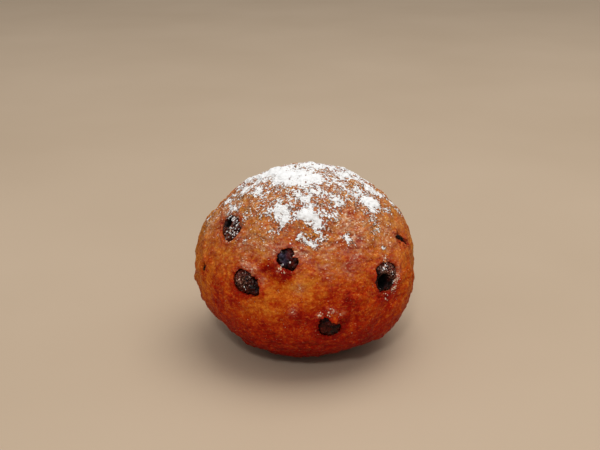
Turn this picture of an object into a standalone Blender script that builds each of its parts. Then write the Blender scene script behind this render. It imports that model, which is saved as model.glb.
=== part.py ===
"""Oliebol: a round fried ball of dough with raisins showing in its crust.

Metres, +Z up.  The ball stands on the small flat spot under it, and the
origin is in the middle of that spot.  An azimuth of 0 degrees is the side
that faces -Y, and azimuths grow towards +X.  Elevations grow upwards.
"""

import math
import random
from collections import namedtuple

import bmesh
import bpy
from mathutils import Matrix, Vector, noise
from mathutils.bvhtree import BVHTree

# The ball
WIDTH = 0.076                 # across, left to right
DEPTH_RATIO = 0.975           # front to back, as a share of the width
HEIGHT_RATIO = 0.845          # pole to pole, as a share of the width
TOP_TAPER = 0.10              # how much narrower the crown is than the middle
FOOT_LEVEL = 0.955            # depth of the flat spot, as a share of half the height
BALL_SUBDIVISIONS = 7
DOUGH_TRIANGLES = 5600        # before the raisins' pockets are cut

# The fine relief of the crust: height and size of its waves
LUMP_HEIGHT = 0.0006
LUMP_SPAN = 0.012
PUCKER_HEIGHT = 0.00055
PUCKER_SPAN = 0.0034
LUMP_SHIFT = Vector((3.1, 7.4, 1.9))
PUCKER_SHIFT = Vector((8.2, 0.7, 5.5))

# The raisins
POCKET_GAP = 0.00035          # between a raisin and its pocket
DISH_DEPTH = 0.0020           # the crust sinks towards a raisin, less where it is sunk
BURIED = 0.9                  # a raisin sunk this far has no dish over it
DISH_REACH = 1.5              # radius of the dish, as a share of the raisin's
RIM_HEIGHT = 0.0003           # the crust swells just round a raisin
RIM_REACH = 1.15              # radius of that rim, as a share of the raisin's
RIM_WIDTH = 0.0016
FOLD_DEPTH = 0.0007           # the wrinkles of a raisin's skin
FOLD_SPAN = 0.0021
FOLD_SHIFT = Vector((4.7, 2.3, 0))    # gives each raisin folds of its own
RAISIN_SUBDIVISIONS = 3
BACK_RAISINS = 4              # on the side away from azimuth 0
BACK_START = 114
BACK_STEP = 42
BACK_SWING = 14
BACK_SPREAD = 7               # random shift of each, in degrees
BACK_LENGTHS = (0.0095, 0.0125)
BACK_WIDTHS = (0.0080, 0.0100)
BACK_THICKNESSES = (0.0058, 0.0066)
BACK_SINKS = (0.40, 0.70)
BACK_TAPERS = (0.0, 0.3)
SEED = 5

# Azimuth and elevation in degrees; height, and radius to the foot of the bump
BELL_STEEPNESS = 2.5
Swell = namedtuple("Swell", "azimuth elevation height radius")
SWELLS = (
    Swell(84, -3, -0.0013, 0.0100),      # flatter right side
    Swell(97, 22, 0.0008, 0.0050),       # knob on the right shoulder
    Swell(-93, 14, 0.0007, 0.0070),      # upper left
    Swell(-103, 31, -0.0009, 0.0080),    # dent above it
    Swell(-130, 60, -0.0008, 0.0120),    # lower left side of the crown
    Swell(125, 59, 0.0008, 0.0120),      # higher right side of the crown
    Swell(-81, -8, 0.0011, 0.0040),      # knob on the left
    Swell(-76, -16, -0.0007, 0.0040),    # dent under it
    Swell(-60, -31, -0.0012, 0.0110),    # flatter lower left
    Swell(55, -33, 0.0012, 0.0110),      # fuller lower right
    Swell(-6, -7, 0.0008, 0.0042),       # raisin under the skin, in front
    Swell(34, -29, 0.0007, 0.0048),      # raisin under the skin, low on the right
    Swell(150, -34, 0.0012, 0.0120),     # fuller at the back
    Swell(-150, 30, -0.0010, 0.0120),    # flatter at the back
    Swell(172, 8, 0.0008, 0.0045),       # raisin under the skin, at the back
)

# Turn is anticlockwise, seen from outside.  Sink is how far the middle lies
# under the crust, as a share of half the thickness.  Taper narrows one end.
Raisin = namedtuple("Raisin", "azimuth elevation length width thickness turn sink taper")
FRONT_RAISINS = (
    Raisin(-56.2, 30.4, 0.0129, 0.0086, 0.0064, 158, 0.52, 0.15),
    Raisin(-10.0, 20.8, 0.0086, 0.0070, 0.0060, 130, 0.42, -0.20),
    Raisin(-31.1, 5.9, 0.0114, 0.0074, 0.0066, -23, 0.50, 0.30),
    Raisin(44.7, 5.8, 0.0126, 0.0112, 0.0066, 5, 0.55, 0.10),
    Raisin(11.3, -13.6, 0.0095, 0.0084, 0.0064, 129, 0.52, 0.15),
    Raisin(70.0, 18.0, 0.0130, 0.0034, 0.0070, -50, 0.86, 0.10),
    Raisin(-63.5, 4.1, 0.0070, 0.0036, 0.0060, 92, 0.86, 0.10),
)

CRUST_COLOUR = (0.32, 0.085, 0.016)
RAISIN_COLOUR = (0.018, 0.008, 0.006)

HALF_SIZE = Vector((WIDTH / 2, WIDTH / 2 * DEPTH_RATIO, WIDTH / 2 * HEIGHT_RATIO))
FOOT_DEPTH = HALF_SIZE.z * FOOT_LEVEL
MEAN_RADIUS = sum(HALF_SIZE) / 3


def clear_scene():
    for thing in list(bpy.data.objects):
        bpy.data.objects.remove(thing, do_unlink=True)


def material(name, colour, roughness):
    made = bpy.data.materials.new(name)
    made.use_nodes = True
    shader = made.node_tree.nodes["Principled BSDF"]
    shader.inputs["Base Color"].default_value = (*colour, 1)
    shader.inputs["Roughness"].default_value = roughness
    shader.inputs["Metallic"].default_value = 0
    return made


def direction(azimuth, elevation):
    """The unit vector from the middle of the ball to that side."""
    around = math.radians(azimuth)
    up = math.radians(elevation)
    flat = math.cos(up)
    return Vector((math.sin(around) * flat, -math.cos(around) * flat, math.sin(up)))


def back_raisins():
    """Raisins spread evenly over the back, one high and one low in turn."""
    draw = random.Random(SEED)
    made = []
    for index in range(BACK_RAISINS):
        side = 1 if index % 2 else -1
        made.append(Raisin(
            BACK_START + index * BACK_STEP + draw.uniform(-BACK_SPREAD, BACK_SPREAD),
            side * BACK_SWING + draw.uniform(-BACK_SPREAD, BACK_SPREAD),
            draw.uniform(*BACK_LENGTHS),
            draw.uniform(*BACK_WIDTHS),
            draw.uniform(*BACK_THICKNESSES),
            draw.uniform(0, 180),
            draw.uniform(*BACK_SINKS),
            draw.uniform(*BACK_TAPERS),
        ))
    return made


RAISINS = list(FRONT_RAISINS) + back_raisins()


def bell(distance, radius):
    """A smooth hump, 1 in the middle and close to 0 past the radius."""
    return math.exp(-BELL_STEEPNESS * (distance / radius) ** 2)


def crust_height(outward):
    """How far the crust stands out from the plain ball at that side."""
    place = outward * MEAN_RADIUS
    height = LUMP_HEIGHT * noise.noise(place / LUMP_SPAN + LUMP_SHIFT)
    height += PUCKER_HEIGHT * noise.noise(place / PUCKER_SPAN + PUCKER_SHIFT)
    for swell in SWELLS:
        away = MEAN_RADIUS * outward.angle(direction(swell.azimuth, swell.elevation))
        height += swell.height * bell(away, swell.radius)
    for raisin in RAISINS:
        away = MEAN_RADIUS * outward.angle(direction(raisin.azimuth, raisin.elevation))
        radius = (raisin.length + raisin.width) / 4
        depth = DISH_DEPTH * (BURIED - raisin.sink)
        height -= depth * bell(away, radius * DISH_REACH)
        height += RIM_HEIGHT * bell(away - radius * RIM_REACH, RIM_WIDTH)
    return height


def ball_mesh():
    """The whole ball of dough about its middle, without pockets or foot."""
    ball = bmesh.new()
    bmesh.ops.create_icosphere(ball, subdivisions=BALL_SUBDIVISIONS, radius=1)
    for vert in ball.verts:
        way = vert.co.normalized()
        taper = 1 - TOP_TAPER * way.z
        plain = Vector((
            way.x * HALF_SIZE.x * taper,
            way.y * HALF_SIZE.y * taper,
            way.z * HALF_SIZE.z,
        ))
        outward = plain.normalized()
        vert.co = plain + outward * crust_height(outward)
    return ball


def thinned(mesh, triangles):
    """The mesh with its triangles gathered where the relief needs them."""
    carrier = bpy.data.objects.new("thinning", mesh)
    bpy.context.scene.collection.objects.link(carrier)
    thin = carrier.modifiers.new("thin", "DECIMATE")
    thin.ratio = triangles / len(mesh.polygons)
    bpy.context.view_layer.update()
    graph = bpy.context.evaluated_depsgraph_get()
    result = bpy.data.meshes.new_from_object(carrier.evaluated_get(graph))
    bpy.data.objects.remove(carrier, do_unlink=True)
    bpy.data.meshes.remove(mesh)
    return result


def cut_foot(mesh):
    """Cuts the ball level at the bottom, so that it can stand."""
    shape = bmesh.new()
    shape.from_mesh(mesh)
    cut = bmesh.ops.bisect_plane(
        shape,
        geom=shape.verts[:] + shape.edges[:] + shape.faces[:],
        plane_co=(0, 0, -FOOT_DEPTH),
        plane_no=(0, 0, -1),
        clear_outer=True,
    )
    rim = [part for part in cut["geom_cut"] if isinstance(part, bmesh.types.BMEdge)]
    filled = bmesh.ops.edgeloop_fill(shape, edges=rim)
    bmesh.ops.triangulate(shape, faces=filled["faces"])
    bmesh.ops.recalc_face_normals(shape, faces=shape.faces[:])
    shape.to_mesh(mesh)
    shape.free()


def seat(raisin, tree):
    """The raisin's place: its flat side to the crust, turned as it lies."""
    way = direction(raisin.azimuth, raisin.elevation)
    spot = tree.ray_cast(Vector((0, 0, 0)), way)[0]
    outward = Vector((
        spot.x / HALF_SIZE.x ** 2,
        spot.y / HALF_SIZE.y ** 2,
        spot.z / HALF_SIZE.z ** 2,
    )).normalized()
    around = math.radians(raisin.azimuth)
    east = Vector((math.cos(around), math.sin(around), 0))
    up = outward.cross(east).normalized()
    east = up.cross(outward)
    turn = math.radians(raisin.turn)
    along = east * math.cos(turn) + up * math.sin(turn)
    across = outward.cross(along)
    middle = spot - outward * raisin.sink * raisin.thickness / 2
    place = Matrix((along, across, outward)).transposed().to_4x4()
    return Matrix.Translation(middle) @ place


def raisin_mesh(name, raisin, number, extra=0.0):
    """A flattened berry with folds in its skin; extra makes it fatter."""
    shape = bmesh.new()
    bmesh.ops.create_icosphere(shape, subdivisions=RAISIN_SUBDIVISIONS, radius=1)
    half = Vector((raisin.length, raisin.width, raisin.thickness)) / 2
    shift = FOLD_SHIFT * number
    for vert in shape.verts:
        plain = vert.co * half
        plain.y *= 1 - raisin.taper * vert.co.x
        fold = noise.noise(plain / FOLD_SPAN + shift)
        normal = Vector((
            vert.co.x / half.x,
            vert.co.y / half.y,
            vert.co.z / half.z,
        )).normalized()
        vert.co = plain + normal * (extra - FOLD_DEPTH * abs(fold))
    mesh = bpy.data.meshes.new(name)
    shape.to_mesh(mesh)
    shape.free()
    mesh.shade_smooth()
    return mesh


def hang(thing, holder, place):
    """Puts a piece at its place round the middle of the ball."""
    thing.parent = holder
    thing.matrix_basis = place


def build_raisins(tree, holder):
    """The raisins, and a cutter for the pocket of each."""
    look = material("raisin skin", RAISIN_COLOUR, 0.45)
    pockets = bpy.data.collections.new("pockets")
    bpy.context.scene.collection.children.link(pockets)
    for number, raisin in enumerate(RAISINS, 1):
        place = seat(raisin, tree)
        mesh = raisin_mesh("raisin", raisin, number)
        mesh.materials.append(look)
        berry = bpy.data.objects.new(f"raisin_{number:02d}", mesh)
        hang(berry, holder, place)
        bpy.context.scene.collection.objects.link(berry)
        pocket_mesh = raisin_mesh("pocket", raisin, number, POCKET_GAP)
        cutter = bpy.data.objects.new(f"pocket_{number:02d}", pocket_mesh)
        hang(cutter, holder, place)
        cutter.hide_render = True
        cutter.display_type = "WIRE"
        pockets.objects.link(cutter)
    return pockets


def build_dough(ball):
    mesh = bpy.data.meshes.new("dough")
    ball.to_mesh(mesh)
    mesh = thinned(mesh, DOUGH_TRIANGLES)
    cut_foot(mesh)
    mesh.shade_smooth()
    mesh.materials.append(material("fried crust", CRUST_COLOUR, 0.5))
    dough = bpy.data.objects.new("dough", mesh)
    bpy.context.scene.collection.objects.link(dough)
    return dough


def stand(holder, mesh):
    """Lifts the ball onto its flat spot, with the origin under its middle."""
    xs = [vert.co.x for vert in mesh.vertices]
    ys = [vert.co.y for vert in mesh.vertices]
    middle_x = (min(xs) + max(xs)) / 2
    middle_y = (min(ys) + max(ys)) / 2
    holder.location = (-middle_x, -middle_y, FOOT_DEPTH)


def build_oliebol():
    holder = bpy.data.objects.new("oliebol", None)
    bpy.context.scene.collection.objects.link(holder)
    ball = ball_mesh()
    dough = build_dough(ball)
    hang(dough, holder, Matrix.Identity(4))
    cut = dough.modifiers.new("raisin pockets", "BOOLEAN")
    cut.operation = "DIFFERENCE"
    cut.operand_type = "COLLECTION"
    cut.collection = build_raisins(BVHTree.FromBMesh(ball), holder)
    cut.solver = "EXACT"
    ball.free()
    stand(holder, dough.data)


clear_scene()
build_oliebol()
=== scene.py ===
import math
import random
from collections import namedtuple

import bmesh
import bpy
from mathutils import Matrix, Vector, noise
from mathutils.bvhtree import BVHTree


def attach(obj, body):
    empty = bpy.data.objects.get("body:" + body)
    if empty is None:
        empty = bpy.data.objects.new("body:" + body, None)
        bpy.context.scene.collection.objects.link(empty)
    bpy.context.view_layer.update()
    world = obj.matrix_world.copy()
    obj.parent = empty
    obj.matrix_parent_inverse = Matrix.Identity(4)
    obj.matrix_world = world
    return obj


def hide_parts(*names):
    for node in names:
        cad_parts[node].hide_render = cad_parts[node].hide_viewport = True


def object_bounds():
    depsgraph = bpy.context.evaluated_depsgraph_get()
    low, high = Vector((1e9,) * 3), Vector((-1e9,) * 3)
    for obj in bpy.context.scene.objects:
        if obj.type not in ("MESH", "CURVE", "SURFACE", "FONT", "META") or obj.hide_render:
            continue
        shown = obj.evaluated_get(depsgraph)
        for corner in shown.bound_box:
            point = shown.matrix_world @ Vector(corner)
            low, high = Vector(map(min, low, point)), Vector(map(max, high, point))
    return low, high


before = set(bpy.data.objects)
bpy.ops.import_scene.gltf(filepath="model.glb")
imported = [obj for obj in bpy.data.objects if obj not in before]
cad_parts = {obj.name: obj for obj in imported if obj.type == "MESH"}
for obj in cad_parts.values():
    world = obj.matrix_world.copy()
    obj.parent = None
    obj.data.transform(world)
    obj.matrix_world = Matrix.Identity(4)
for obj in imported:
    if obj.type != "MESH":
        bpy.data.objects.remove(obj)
CAD_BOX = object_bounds()

# The ball
BALL_HEIGHT = CAD_BOX[1].z - CAD_BOX[0].z
MIDDLE_SHARE = 0.486           # how high its middle lies, against its height
BALL_MIDDLE = Vector((0, 0, BALL_HEIGHT * MIDDLE_SHARE))
BALL_RADIUS = 0.0360           # about its mean radius, to turn a length on the crust into an angle
RAISINS = sorted(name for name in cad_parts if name.startswith("raisin"))

# A spot on the ball: a smooth hump
SPOT_REACH = 1.5               # its width, against its radius
SPOT_BOUND = 2.4               # radii past which it adds nothing
BELL_STEEPNESS = 2.5

# The photograph's camera
CAMERA_PLACE = Vector((-0.00159, -0.28455, 0.15424))
CAMERA_PITCH = 21.5            # degrees below the horizon
CAMERA_LENS = 54
CAMERA_SENSOR = 36

# Crust
CRUST_GRAIN = 0.00052          # size of the crust's mesh faces
CRUST_SMOOTHING = 4
CRUST_INSET = 0.00020          # makes room for the relief inside the CAD box
CREASE_SPAN = 0.0042
CREASE_DEPTH = 0.00034
CREASE_FLATNESS = 1.7          # how much wider than high the folds run
CREASE_SHARPNESS = 3.2
CREASE_BEND_SPAN = CREASE_SPAN * 2.3
CREASE_BEND = 0.5
CREASED_SPAN = 0.011           # size of the patches that have folds
CREASED_SHIFT = Vector((5, 1, 2))
CREASED_LEVELS = (-0.25, 0.3)
DIMPLE_SPAN = 0.0068
DIMPLE_DEPTH = 0.00045
DIMPLE_LEVELS = (0.05, 0.45)
KNOB_SPAN = 0.0030
KNOB_HEIGHT = 0.00032
PIMPLE_SPAN = 0.0017
PIMPLE_HEIGHT = 0.00020
PIMPLE_SHARPNESS = 1.5
GRIT_SPAN = 0.0012
GRIT_HEIGHT = 0.00024
WRINKLE_LENGTH = 0.0050
WRINKLE_PITCH = 0.0013
WRINKLE_HEIGHT = 0.00050
WRINKLE_BEND = 2.2
WRINKLE_SHARPNESS = 2.4
WRINKLE_LEAST = 0.02           # share below which there are none
WRINKLE_SHADE = 2              # how much more painted shade their valleys get than a fold
WAIST_WIDTH = 0.42             # of the paler band that both fried sides leave between them
WAIST_PALENESS = 0.11
WAIST_DULLNESS = 0.72
UPPER_PALENESS = 0.03          # of the upper side, which fried less
UPPER_DULLNESS = 0.62
UPPER_LEVELS = (0, 0.5)        # heights over the middle, against the radius, between which it begins
UNDER_TOP = 0.12               # height over the middle below which the crust turns redder and darker: browning, with painted shade towards the floor
TOAST_BASE = 0.315
# these two darken the underside: browning, and painted shade towards the floor
UNDERSIDE_TOAST_AND_SHADE = 0.36
LOWEST_TOAST_AND_SHADE = 0.80
HAZE_LEAST = 0.01              # pale film that lies everywhere: thin glaze, with painted sheen
# more of the pale film, with its painted sheen, on the upper side
HAZE_SIDE = 0.22
HAZE_SIDE_LEVELS = (0, 0.65)
HAZE_TOP = 0.32
HAZE_TOP_LEVELS = (0.50, 0.85)
STAIN_AND_SHADE_REACH = 0.0028           # how far round a raisin the crust is darker: stain, with painted shade round its pocket
BROWNING_GAIN = 1.25
TEAR_SPAN = 0.0034             # size of the bends in a spot's outline
TEAR_REACH = 0.0012
RAG_SPAN = 0.0013              # size of the nicks in it
RAG_REACH = 0.0006
PUSH_SHIFTS = (Vector((9.3, -1.5, -7.9)), Vector((0, 0, 0)), Vector((6.3, 0.2, -2.7)))

# The lip of skin round each raisin
LIP_SIDES = 150
LIP_ROWS = 13
LIP_REACH = 0.0015             # from the pocket's edge out over the crust
LIP_REACH_SPAN = 0.0021        # size of the waves in its outer edge
LIP_REACH_WAVE = 0.35
LIP_WIDTH = 0.00050            # from the pocket's edge in over the raisin
LIP_LEAST = 0.00012
LIP_INNERMOST = 0.16           # nearest to the raisin's middle, against the pocket's edge
LIP_EVEN = 0.35                # what its inner edge is made of: an even width, waves and nicks
LIP_WAVE = 0.9
LIP_NICK = 0.6
LIP_SPAN = 0.0024              # size of the waves
LIP_RAG = 0.0007               # size of the nicks
LIP_THICKNESS = 0.00034
LIP_LUMP_SPAN = 0.0012         # size of its thicker places
LIP_LEAN = 0.8
LIP_LUMP = 0.7
LIP_ROOT = 1.5                 # how deep its underside lies, against its thickness
LIP_BURIED = 0.35              # how deep its outer edge is sunk, against its thickness
LIP_RISE = 0.55                # share of its width over which it comes up
LIP_CURL_START = 0.78          # share of its width where the inner edge begins to curl down
LIP_CURL_WIDTH = 0.22
LIP_CURL = 1.3
POCKET_GAP = 0.00035
POCKET_END_GAP = POCKET_GAP * 1.25
POCKET_LONGEST = 1.5           # against the raisin's half length
PROBE_STEP = 0.00016
PROBE_HEIGHT = 0.012
PROBE_LENGTH = 0.020
FILL_REACH = 3                 # probes to either side that fill the pocket's gap
LEVEL_REACH = 2                # probes to either side that smooth the result

# Raisins
RAISIN_GRAIN = 0.00027
RAISIN_SMOOTHING = 3
RAISIN_SHIFT = 0.013           # moves the folds on from one raisin to the next
RAISIN_FOLD_SPAN = 0.0019
RAISIN_FOLD_DEPTH = 0.00060
RAISIN_FOLD_SHARPNESS = 3
RAISIN_GRIT_SPAN = 0.0008
RAISIN_GRIT_HEIGHT = 0.00014
PIT_DEPTH = 0.0030
PIT_EDGE = (0.42, 0.60)

# Powdered sugar
SUGAR_LOWEST = 12              # degrees above the middle
SUGAR_LEAST = 0.02
SUGAR_RISES = ((0.12, 18, 36), (0.34, 34, 52), (0.16, 60, 80))     # amount, between two elevations
SUGAR_CLOUDED = (20, 42)       # elevations between which it turns uneven
SUGAR_INSIDE = 1.03            # amount above which it lies as a drift
DRIFT_DEPTH = 0.00016
DRIFT_LEAST = 0.00005
DRIFT_SLOPE = 0.7
DRIFT_MARGIN = 0.3             # what is kept beside a drift until its edge is cut
DRIFT_GAIN = 0.74
DRIFT_REACH = 1.8              # how far a drift thins out, against its radius
CLOUD_SPAN = 0.0048            # size of its thicker and thinner places
CLOUD_GAIN = 0.24
CLUMP_SPAN = 0.0018
CLUMP_GAIN = 0.38
FLAKE_SPAN = 0.0014            # size of the bends in a drift's edge
CHIP_SPAN = 0.0006             # size of the nicks in it
FLAKE_GAIN = 0.50
BACK_DRIFTS = 26
BACK_RANGES = ((105, 255), (32, 70), (0.0014, 0.0034), (0.6, 1.0))  # in the order of a Spot's values

# Grains of sugar, and crumbs
GRAIN_SIZES = (0.00012, 0.00028)
GRAIN_CHANCE = 0.40
GRAIN_FADE = 1.3               # grains are fewer again where the sugar is thick
RAISIN_GRAIN_CHANCE = 0.16
CRUMB_SIZES = (0.00012, 0.00032)
CRUMB_CHANCE = 0.22
BIT_WIDTHS = (0.7, 1.3)        # against its size
BIT_HEIGHTS = (0.5, 0.8)
BIT_BENDS = (0.8, 1.15)
OVERHANG = -0.2                # how far a face may look down and still catch sugar
FACING = 0.2                   # how far a face has to look outwards
SEED = 11

Spot = namedtuple("Spot", "azimuth elevation radius strength")

# Where the crust browned unevenly: above 0 is redder and darker, below 0 more orange
BROWNING = (
    Spot(-12, 13, 0.0030, 0.70),
    Spot(-8, 14, 0.0018, 0.35),
    Spot(-19, 17, 0.0020, 0.65),
    Spot(-22, 15, 0.0016, 0.40),
    Spot(-27, 19, 0.0016, 0.25),
    Spot(-4, -9, 0.0036, 0.36),
    Spot(22, 2, 0.0060, 0.20),
    Spot(21, 1, 0.0024, 0.22),
    Spot(27, 19, 0.0050, 0.28),
    Spot(6, 16, 0.0035, 0.14),
    Spot(50, -3, 0.0030, 0.15),
    Spot(8, -1, 0.0050, 0.12),
    Spot(20, -10, 0.0040, 0.16),
    Spot(-31, 5, 0.0042, 0.30),
    Spot(-20, -13, 0.0060, 0.12),
    Spot(38, -1, 0.0035, 0.16),
    Spot(46, -5, 0.0045, 0.36),
    Spot(34, -28, 0.0042, 0.45),
    Spot(44, -20, 0.0070, 0.12),
    Spot(3, -22, 0.0060, 0.10),
    Spot(-36, -3, 0.0030, 0.30),
    Spot(-44, -16, 0.0080, 0.20),
    Spot(12, 9, 0.0040, 0.16),
    Spot(-48, 0, 0.0060, 0.14),
    Spot(0, 19, 0.0035, 0.14),
    Spot(14, -8, 0.0014, -0.40),
    Spot(7, -6, 0.0012, -0.50),
    Spot(17, -7, 0.0011, -0.28),
    Spot(3, -9, 0.0040, 0.14),
    Spot(-2, 2, 0.0050, 0.08),
    Spot(20, -20, 0.0080, 0.07),
    Spot(-15, -28, 0.0090, 0.07),
    Spot(-25, -3, 0.0055, -0.28),
    Spot(-18, -6, 0.0035, -0.15),
    Spot(-4, 8, 0.0055, -0.20),
    Spot(6, 5, 0.0045, -0.12),
    Spot(-43, 22, 0.0060, -0.04),
    Spot(52, 26, 0.0080, -0.10),
    Spot(-68, -5, 0.0090, -0.16),
    Spot(50, -12, 0.0060, -0.12),
    Spot(-14, -17, 0.0030, -0.10),
)

# Where a pale film lies on the crust: thin glaze, with painted sheen and glints where the light catches
# it; below 0 where there is less of it
SHEEN_AND_GLAZE_SPOTS = (
    Spot(13, -4, 0.0011, 0.5),
    Spot(7, -6, 0.0010, 0.3),
    Spot(18, -6, 0.0009, 0.3),
    Spot(-6, -4, 0.0013, 0.8),
    Spot(54, 6, 0.0016, 0.7),
    Spot(50, -2, 0.0011, 0.5),
    Spot(46, 15, 0.0012, 0.7),
    Spot(-14, 16, 0.0009, 0.7),
    Spot(-24, 27, 0.0050, 0.30),
    Spot(-17, 25, 0.0018, 0.4),
    Spot(-38, 26, 0.0035, 0.30),
    Spot(-80, 24, 0.0050, 0.50),
    Spot(-72, 40, 0.0050, 0.45),
    Spot(-28, 13, 0.0020, 0.6),
    Spot(-34, 17, 0.0018, 0.6),
    Spot(-22, 9, 0.0014, 0.4),
    Spot(-12, 13, 0.0030, -0.3),
    Spot(-20, 17, 0.0020, -0.5),
    Spot(-28, 20, 0.0018, -0.2),
    Spot(12, 16, 0.0026, 0.28),
    Spot(23, 15, 0.0022, 0.35),
    Spot(-2, 24, 0.0026, 0.45),
    Spot(-3, 7, 0.0016, 0.4),
    Spot(28, 20, 0.0014, 0.25),
    Spot(12, 27, 0.0036, 0.15),
    Spot(33, 31, 0.0040, 0.25),
    Spot(54, 28, 0.0060, 0.25),
)

# Where the skin dried into fine wrinkles that run round the ball
WRINKLED = (
    Spot(36, 40, 0.0060, 1.0),
    Spot(24, 36, 0.0050, 0.8),
    Spot(30, 28, 0.0050, 0.7),
    Spot(15, 29, 0.0040, 0.5),
    Spot(-36, 27, 0.0050, 0.4),
    Spot(55, 22, 0.0060, 0.5),
    Spot(150, 34, 0.0090, 0.9),
    Spot(-140, 20, 0.0090, 0.7),
)

# Where the skin laps further over a raisin
LAPS = (
    Spot(15, -9, 0.0028, 3.4),
    Spot(-6, 24, 0.0015, 3.2),
    Spot(-25, 11, 0.0020, 0.7),
    Spot(-50, 34, 0.0018, 1.4),
    Spot(78, 20, 0.0026, 0.7),
    Spot(63, 10, 0.0040, 2.2),
    Spot(-65, 9, 0.0020, 0.9),
    Spot(-61, 3, 0.0020, 1.1),
)

# Where the sugar lies, and below 0 where there is less of it
DRIFTS = (
    Spot(-20, 47, 0.0032, 1.0),
    Spot(-15, 42, 0.0018, 0.8),
    Spot(-15, 37, 0.0016, 0.4),
    Spot(-4, 46, 0.0022, 1.0),
    Spot(3, 45, 0.0026, 0.9),
    Spot(10, 43, 0.0024, 0.8),
    Spot(7, 38, 0.0024, 0.5),
    Spot(11, 35, 0.0024, 0.4),
    Spot(7, 33, 0.0020, 0.30),
    Spot(13, 31, 0.0018, 0.25),
    Spot(-9, 67, 0.0020, 0.4),
    Spot(-26, 67, 0.0022, 0.7),
    Spot(-70, 66, 0.0022, 0.6),
    Spot(29, 57, 0.0020, 0.8),
    Spot(-73, 48, 0.0020, 0.8),
    Spot(-30, 45, 0.0014, 0.5),
    Spot(-92, 50, 0.0024, 0.6),
    Spot(-92, 28, 0.0020, 0.7),
    Spot(-90, 22, 0.0016, 0.9),
    Spot(92, 33, 0.0026, 1.1),
    Spot(93, 25, 0.0020, 0.9),
    Spot(92, 52, 0.0028, 0.9),
    Spot(74, 35, 0.0022, 1.1),
    Spot(50, 52, 0.0020, 0.5),
    Spot(48, 44, 0.0014, 0.5),
    Spot(51, 30, 0.0014, 0.8),
    Spot(3, 52, 0.0016, 0.8),
    Spot(0, 58, 0.0018, 0.8),
    Spot(9, 61, 0.0022, 0.6),
    Spot(22, 63, 0.0016, 0.5),
    Spot(21, 45, 0.0020, 0.9),
    Spot(33, 50, 0.0027, 1.0),
    Spot(62, 47, 0.0022, 1.0),
    Spot(64, 44, 0.0024, 1.0),
    Spot(68, 41, 0.0022, 1.0),
    Spot(57, 41, 0.0018, 0.9),
    Spot(52, 37, 0.0014, 0.8),
    Spot(48, 34, 0.0022, 0.6),
    Spot(44, 29, 0.0018, 0.8),
    Spot(56, 54, 0.0028, 0.5),
    Spot(52, 62, 0.0024, 0.3),
    Spot(55, 67, 0.0022, 0.6),
    Spot(81, 49, 0.0022, 0.8),
    Spot(88, 45, 0.0024, 1.0),
    Spot(94, 63, 0.0036, 1.0),
    Spot(78, 68, 0.0030, 0.6),
    Spot(-48, 68, 0.0026, 1.0),
    Spot(-58, 56, 0.0026, 0.9),
    Spot(-75, 53, 0.0026, 0.9),
    Spot(-82, 40, 0.0024, 0.9),
    Spot(-78, 61, 0.0020, 0.5),
    Spot(-98, 65, 0.0034, 0.7),
    Spot(-88, 58, 0.0020, -0.3),
    Spot(-112, 55, 0.0034, 0.6),
    Spot(-10, 58, 0.0024, 0.7),
    Spot(-36, 42, 0.0018, 0.6),
    Spot(-47, 42, 0.0014, 0.5),
    Spot(-26, 50, 0.0020, 0.3),
    Spot(-19, 34, 0.0011, 0.5),
    Spot(-24, 35, 0.0011, 0.8),
    Spot(-27, 29, 0.0009, 0.9),
    Spot(-39, 27, 0.0009, 0.8),
    Spot(-5, 34, 0.0010, 1.3),
    Spot(-1, 33, 0.0009, 1.3),
    Spot(1, 31, 0.0009, 1.3),
    Spot(4, 30, 0.0011, 1.4),
    Spot(27, 31, 0.0012, 2.0),
    Spot(28, 27, 0.0013, 0.7),
    Spot(49, 20, 0.0008, 1.7),
    Spot(-50, 33, 0.0016, 0.4),
    Spot(-65, 39, 0.0024, 1.1),
    Spot(-46, 34, 0.0016, 0.5),
    Spot(-71, 40, 0.0016, 0.8),
    Spot(-90, 38, 0.0026, 1.0),
    Spot(68, 57, 0.0024, 0.5),
    Spot(8, 31, 0.0016, 0.3),
    Spot(-84, 22, 0.0011, 0.6),
    Spot(-86, 16, 0.0010, 0.5),
    Spot(-10, 78, 0.0060, 0.7),
    Spot(-55, 80, 0.0050, 0.7),
    Spot(-80, 72, 0.0036, 0.6),
    Spot(15, 72, 0.0034, 0.7),
    Spot(170, 78, 0.0050, 0.8),
    Spot(120, 76, 0.0040, 0.6),
    Spot(-40, 61, 0.0030, -0.35),
    Spot(-67, 65, 0.0022, -0.30),
    Spot(-6, 52, 0.0016, -0.25),
    Spot(6, 69, 0.0020, -0.30),
    Spot(30, 65, 0.0022, -0.12),
    Spot(59, 72, 0.0018, -0.10),
    Spot(20, 86, 0.0014, -0.35),
    Spot(74, 59, 0.0026, -0.35),
    Spot(38, 40, 0.0060, -0.40),
    Spot(40, 47, 0.0026, -0.30),
    Spot(-64, 48, 0.0030, -0.30),
    Spot(-40, 50, 0.0026, -0.20),
    Spot(-28, 40, 0.0024, -0.15),
    Spot(82, 38, 0.0040, -0.20),
)

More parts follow.
